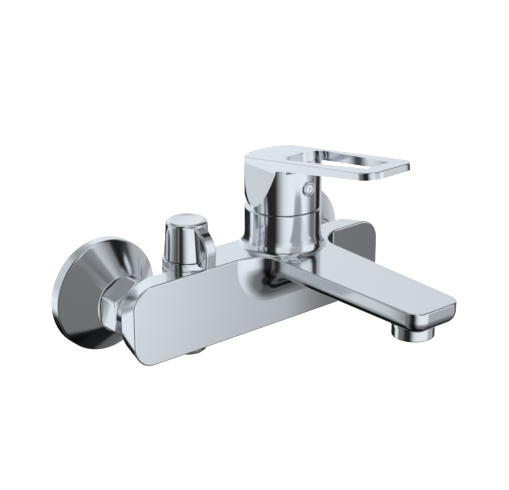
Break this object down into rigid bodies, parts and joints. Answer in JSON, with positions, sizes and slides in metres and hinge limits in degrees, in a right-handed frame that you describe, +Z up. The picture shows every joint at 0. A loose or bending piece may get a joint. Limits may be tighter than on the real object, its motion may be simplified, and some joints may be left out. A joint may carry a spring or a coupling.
{
  "type": "wall mounted bath faucet",
  "caption": "Chrome wall mounted bath faucet with a flat bar body, loop lever handle, long flat spout, diverter knob, shower outlet and conical wall flanges.",
  "frame": {"origin": "on the wall face, midway between the axes of the two faucet inlets", "axes": "+X to the right along the body, +Y into the wall, +Z up; the room side is -Y"},
  "size_m": [0.219, 0.203, 0.1294],
  "materials": {
    "polished_chrome": "polished chrome plate over cast brass",
    "cast_brass": "turned brass, unplated",
    "plain_steel": "turned steel",
    "white_ceramic": "lapped alumina",
    "cartridge_plastic": "moulded engineering plastic",
    "insert_plastic": "moulded grey plastic",
    "black_rubber": "moulded rubber",
    "button_plastic": "glossy plastic button"
  },
  "bodies": {
    "faucet": {"mixer_body": "polished_chrome", "escutcheon_left": "polished_chrome", "escutcheon_right": "polished_chrome", "union_nut_left": "polished_chrome", "union_nut_right": "polished_chrome", "inlet_tail_left": "polished_chrome", "inlet_tail_right": "polished_chrome", "dome_cap": "polished_chrome", "diverter_collar": "polished_chrome", "shower_outlet_nipple": "polished_chrome", "aerator_housing": "polished_chrome", "s_union_left": "cast_brass", "s_union_right": "cast_brass", "ring_nut": "cast_brass", "diverter_headpart": "cast_brass", "ceramic_disc_fixed": "white_ceramic", "diverter_seat_disc": "white_ceramic", "cartridge_base": "cartridge_plastic", "cartridge_shell": "cartridge_plastic", "aerator_insert": "insert_plastic", "cartridge_port_seals": "black_rubber", "inlet_washer_left": "black_rubber", "inlet_washer_right": "black_rubber", "diverter_o_ring": "black_rubber", "aerator_washer": "black_rubber"},
    "rotor": {"cartridge_rotor": "cartridge_plastic", "lever_pivot_pin": "plain_steel"},
    "handle": {"lever_handle": "polished_chrome", "lever_stem": "plain_steel", "handle_set_screw": "plain_steel", "index_plug": "polished_chrome", "index_button": "button_plastic"},
    "disc": {"ceramic_disc_moving": "white_ceramic", "disc_carrier": "cartridge_plastic"},
    "diverter": {"diverter_knob": "polished_chrome", "diverter_spindle": "cast_brass"}
  },
  "joints": [
    {"name": "temperature_turn", "type": "hinge", "parent": "faucet", "child": "rotor", "pos_m": [0.0205, -0.056, 0.036], "axis": [0, 0, 1], "range_deg": [-45, 45]},
    {"name": "handle_lift", "type": "hinge", "parent": "rotor", "child": "handle", "pos_m": [0.0205, -0.056, 0.036], "axis": [-1, 0, 0], "range_deg": [0, 22]},
    {"name": "disc_slide", "type": "slide", "parent": "rotor", "child": "disc", "axis": [0, -1, 0], "range_m": [0, 0.00213]},
    {"name": "diverter_turn", "type": "hinge", "parent": "faucet", "child": "diverter", "pos_m": [-0.044, -0.046, 0.04], "axis": [0, 0, 1], "range_deg": [0, 90]}
  ],
  "couplings": [
    {"joint": "disc_slide", "follows": "handle_lift", "m_per_rad": 0.0055}
  ]
}
